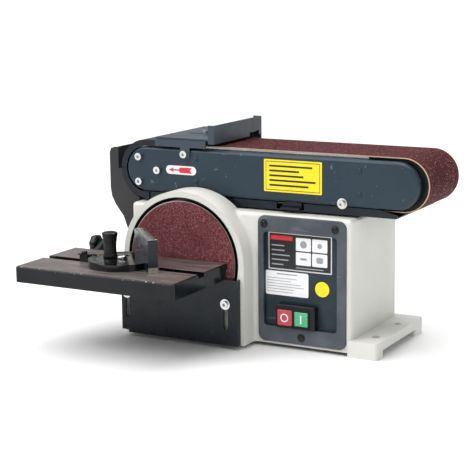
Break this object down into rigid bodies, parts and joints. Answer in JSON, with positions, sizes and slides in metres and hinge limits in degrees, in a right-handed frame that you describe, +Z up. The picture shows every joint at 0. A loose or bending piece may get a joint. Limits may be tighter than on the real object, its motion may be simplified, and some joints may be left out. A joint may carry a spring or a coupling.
{
  "type": "belt disc sander",
  "caption": "Bench-top sander with a long tilting belt arm, a side disc with a tilting mitre table, and a switch panel on a cast base.",
  "frame": {"origin": "centre of the bounding box at bench level, the underside of the feet", "axes": "+X along the belt arm from the drive drum to the idler, -Y towards the operator and the disc table, +Z up"},
  "size_m": [0.4734, 0.339, 0.274],
  "materials": {
    "base_paint": "satin light grey paint over a cast surface",
    "arm_paint": "satin dark slate paint",
    "guard_paint": "satin near-black paint on pressed steel",
    "panel_plastic": "moulded, slightly textured",
    "switch_plastic": "smooth moulded",
    "button_red": "glossy",
    "button_green": "glossy",
    "bright_steel": "bright plated or turned steel",
    "motor_paint": "dull black paint",
    "lamination": "bare stacked sheet",
    "cast_aluminium": "turned cast aluminium",
    "abrasive": "brown-red aluminium oxide grit on cloth",
    "drive_rubber": "dull",
    "table_iron": "ground bare top, black painted sides",
    "gauge_paint": "gloss black paint",
    "knob_plastic": "gloss black",
    "capacitor_plastic": "light moulded can"
  },
  "bodies": {
    "base": {"base_housing": "base_paint", "disc_surround": "base_paint", "back_panel": "base_paint", "foot_rails": "base_paint", "control_panel": "panel_plastic", "switch_housing": "switch_plastic", "motor_shell": "motor_paint", "motor_end_bells": "motor_paint", "motor_stator": "lamination", "motor_capacitor": "capacitor_plastic", "shaft_bearings": "bright_steel", "pivot_bracket": "arm_paint", "base_screws": "bright_steel", "drive_belt": "drive_rubber", "rear_belt_cover": "guard_paint", "dust_hood": "guard_paint", "table_bracket": "guard_paint", "table_pivot_pin": "bright_steel", "guard_screws": "bright_steel", "cord_gland": "switch_plastic", "arm_rest_pad": "drive_rubber"},
    "disc_rotor": {"rotor_shaft": "bright_steel", "rotor_core": "lamination", "disc_plate": "cast_aluminium", "abrasive_disc": "abrasive", "motor_pulley": "cast_aluminium", "motor_fan": "knob_plastic"},
    "drum": {"drive_drum": "cast_aluminium", "drum_shaft": "bright_steel", "drum_pulley": "cast_aluminium"},
    "belt_arm": {"arm_front_cover": "arm_paint", "arm_frame": "arm_paint", "arm_rear_plate": "arm_paint", "platen": "bright_steel", "front_bearing_housing": "cast_aluminium", "drum_front_bearing": "bright_steel", "arm_screws": "bright_steel", "upper_belt_hood": "arm_paint", "lower_belt_guard": "guard_paint", "sanding_belt": "abrasive", "stop_bracket": "arm_paint", "tension_spring": "bright_steel"},
    "idler_carriage": {"idler_yoke": "bright_steel", "idler_axle": "bright_steel", "tension_bar": "guard_paint"},
    "idler": {"idler_drum": "cast_aluminium", "idler_bearings": "bright_steel"},
    "tracking": {"tracking_screw": "bright_steel"},
    "work_stop": {"work_stop_fence": "guard_paint"},
    "disc_guard": {"lower_disc_guard": "guard_paint"},
    "stop_switch": {"stop_button": "button_red"},
    "start_switch": {"start_button": "button_green"},
    "table": {"work_table": "table_iron", "table_trunnion": "guard_paint"},
    "table_lock": {"table_lock_knob": "knob_plastic"},
    "miter_slide_bar": {"miter_bar": "bright_steel", "miter_pointer": "bright_steel"},
    "miter_gauge": {"miter_head": "gauge_paint", "miter_fence": "gauge_paint"},
    "miter_lock": {"miter_knob": "knob_plastic"}
  },
  "joints": [
    {"name": "motor_spin", "type": "hinge", "parent": "base", "child": "disc_rotor", "pos_m": [-0.0735, 0.05, 0.1067], "axis": [0, 1, 0], "continuous": true},
    {"name": "drum_spin", "type": "hinge", "parent": "base", "child": "drum", "pos_m": [-0.1515, 0.0675, 0.213], "axis": [0, 1, 0], "continuous": true},
    {"name": "arm_tilt", "type": "hinge", "parent": "base", "child": "belt_arm", "pos_m": [-0.1515, 0.0675, 0.213], "axis": [0, -1, 0], "range_deg": [0, 90]},
    {"name": "belt_tension", "type": "slide", "parent": "belt_arm", "child": "idler_carriage", "axis": [1, 0, 0], "range_m": [-0.006, 0], "stiffness_N_per_m": 1500, "springref_m": 0.012, "deforming": ["tension_spring"]},
    {"name": "idler_spin", "type": "hinge", "parent": "idler_carriage", "child": "idler", "pos_m": [0.2035, 0.0675, 0.213], "axis": [0, 1, 0], "continuous": true},
    {"name": "tracking_turn", "type": "hinge", "parent": "belt_arm", "child": "tracking", "pos_m": [0.1298, 0.004, 0.188], "axis": [0, 1, 0], "range_deg": [-180, 180]},
    {"name": "work_stop_slide", "type": "slide", "parent": "belt_arm", "child": "work_stop", "axis": [1, 0, 0], "range_m": [0, 0.02]},
    {"name": "disc_guard_slide", "type": "slide", "parent": "base", "child": "disc_guard", "axis": [0, 0, 1], "range_m": [0, 0.005]},
    {"name": "stop_press", "type": "slide", "parent": "base", "child": "stop_switch", "axis": [0, 1, 0], "range_m": [0, 0.003], "stiffness_N_per_m": 500, "springref_m": -0.002},
    {"name": "start_press", "type": "slide", "parent": "base", "child": "start_switch", "axis": [0, 1, 0], "range_m": [0, 0.003], "stiffness_N_per_m": 500, "springref_m": -0.002},
    {"name": "table_tilt", "type": "hinge", "parent": "base", "child": "table", "pos_m": [-0.19, -0.052, 0.0915], "axis": [1, 0, 0], "range_deg": [0, 45]},
    {"name": "table_lock_turn", "type": "hinge", "parent": "base", "child": "table_lock", "pos_m": [-0.21, -0.0135, 0.111], "axis": [1, 0, 0], "range_deg": [-180, 180]},
    {"name": "miter_slide", "type": "slide", "parent": "table", "child": "miter_slide_bar", "axis": [1, 0, 0], "range_m": [-0.04, 0.06]},
    {"name": "miter_swivel", "type": "hinge", "parent": "miter_slide_bar", "child": "miter_gauge", "pos_m": [-0.1202, -0.1045, 0.1138], "axis": [0, 0, 1], "range_deg": [-14, 76]},
    {"name": "miter_lock_turn", "type": "hinge", "parent": "miter_slide_bar", "child": "miter_lock", "pos_m": [-0.1372, -0.1045, 0.12], "axis": [0, 0, 1], "range_deg": [-180, 180]}
  ],
  "couplings": [
    {"joint": "drum_spin", "follows": "motor_spin", "ratio": 0.5},
    {"joint": "idler_spin", "follows": "motor_spin", "ratio": 0.5}
  ]
}
